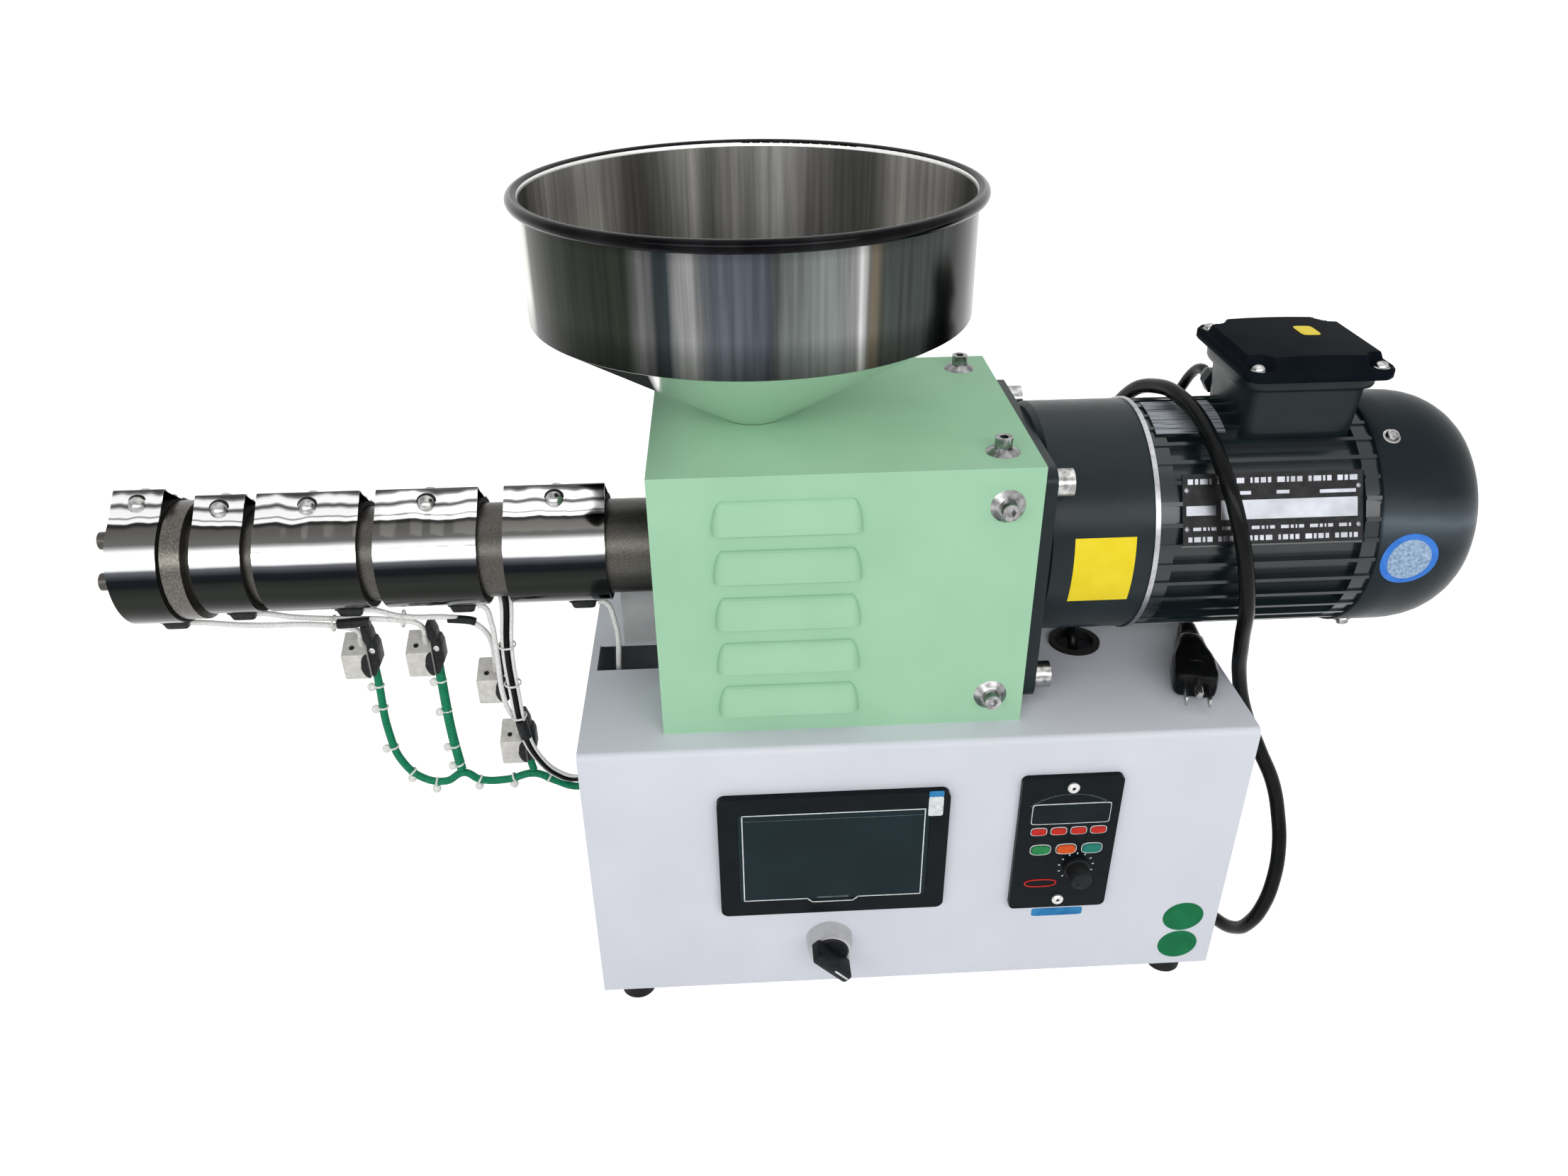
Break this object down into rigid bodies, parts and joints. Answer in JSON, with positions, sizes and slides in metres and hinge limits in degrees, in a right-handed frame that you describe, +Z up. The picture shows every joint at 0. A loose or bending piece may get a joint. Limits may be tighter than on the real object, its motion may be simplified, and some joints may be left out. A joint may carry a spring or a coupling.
{
  "type": "desktop filament extruder",
  "caption": "Desktop filament extruder: hopper, heated barrel and gear motor on a steel cabinet with its controls.",
  "frame": {"origin": "floor level under the middle of the cabinet, at the centre of the four feet", "axes": "+X towards the motor, +Y towards the back, +Z up; the controls face -Y and the die points to -X"},
  "size_m": [0.8415, 0.2685, 0.526],
  "materials": {
    "white_paint": "satin powder coat",
    "green_paint": "satin powder coat",
    "grey_paint": "satin paint",
    "dark_paint": "semi-gloss paint",
    "dark_steel": "nitrided steel, oil-dark",
    "bright_steel": "zinc plated",
    "stainless": "polished stainless sheet",
    "polished_steel": "mirror-polished stainless sheet",
    "aluminium": "brushed",
    "rubber": "matt",
    "cord_rubber": "smooth PVC",
    "dark_plastic": "fine texture",
    "key_plastic": "printed membrane",
    "screen_glass": "dark glossy screen",
    "plug_metal": "cast, satin",
    "braid": "glass-fibre braid",
    "green_cable": "green braided sleeve"
  },
  "bodies": {
    "machine": {"cabinet_shell": "white_paint", "cabinet_left_side": "white_paint", "cabinet_right_side": "white_paint", "cabinet_back": "white_paint", "cabinet_base": "white_paint", "rubber_feet": "rubber", "cable_grommet": "rubber", "barrel_pedestal": "grey_paint", "feed_block": "dark_steel", "thrust_housing": "dark_steel", "barrel_tube": "dark_steel", "feed_screw": "bright_steel", "band_heater_1": "polished_steel", "band_heater_2": "polished_steel", "band_heater_3": "polished_steel", "short_band_heater": "polished_steel", "die_band_heater": "polished_steel", "die_ring": "dark_steel", "die_head": "dark_steel", "die_bolts": "dark_steel", "hopper": "stainless", "cover": "green_paint", "cover_screws": "bright_steel", "gearbox_flange": "dark_paint", "flange_screws": "bright_steel", "gearbox": "dark_paint", "motor_ring": "aluminium", "motor_body": "dark_paint", "motor_nameplate": "aluminium", "fan_cowl": "dark_paint", "motor_fan": "dark_plastic", "terminal_box": "dark_paint", "terminal_lid": "dark_paint", "touch_screen": "dark_plastic", "screen_glass": "screen_glass", "speed_panel": "dark_plastic", "panel_keys": "key_plastic", "selector_rim": "bright_steel", "harness_gland": "dark_plastic", "heater_plug_1": "plug_metal", "heater_plug_2": "plug_metal", "heater_plug_3": "plug_metal", "heater_plug_4": "plug_metal", "braided_lead_1": "braid", "braided_lead_2": "braid", "braided_lead_3": "braid", "braided_lead_4": "braid", "braided_lead_5": "braid", "sensor_lead_1": "green_cable", "sensor_lead_2": "green_cable", "sensor_lead_3": "green_cable", "wire_bundle": "cord_rubber", "cord_gland": "dark_plastic", "power_cord": "cord_rubber", "power_plug": "cord_rubber", "motor_cable": "cord_rubber"},
    "speed_knob_body": {"speed_knob": "dark_plastic"},
    "selector_handle_body": {"selector_handle": "dark_plastic"}
  },
  "joints": [
    {"name": "speed_turn", "type": "hinge", "parent": "machine", "child": "speed_knob_body", "pos_m": [0.1035, -0.114, 0.1185], "axis": [0, 1, 0], "range_deg": [0, 300]},
    {"name": "selector_turn", "type": "hinge", "parent": "machine", "child": "selector_handle_body", "pos_m": [-0.055, -0.11, 0.0595], "axis": [0, 1, 0], "range_deg": [0, 90]}
  ]
}
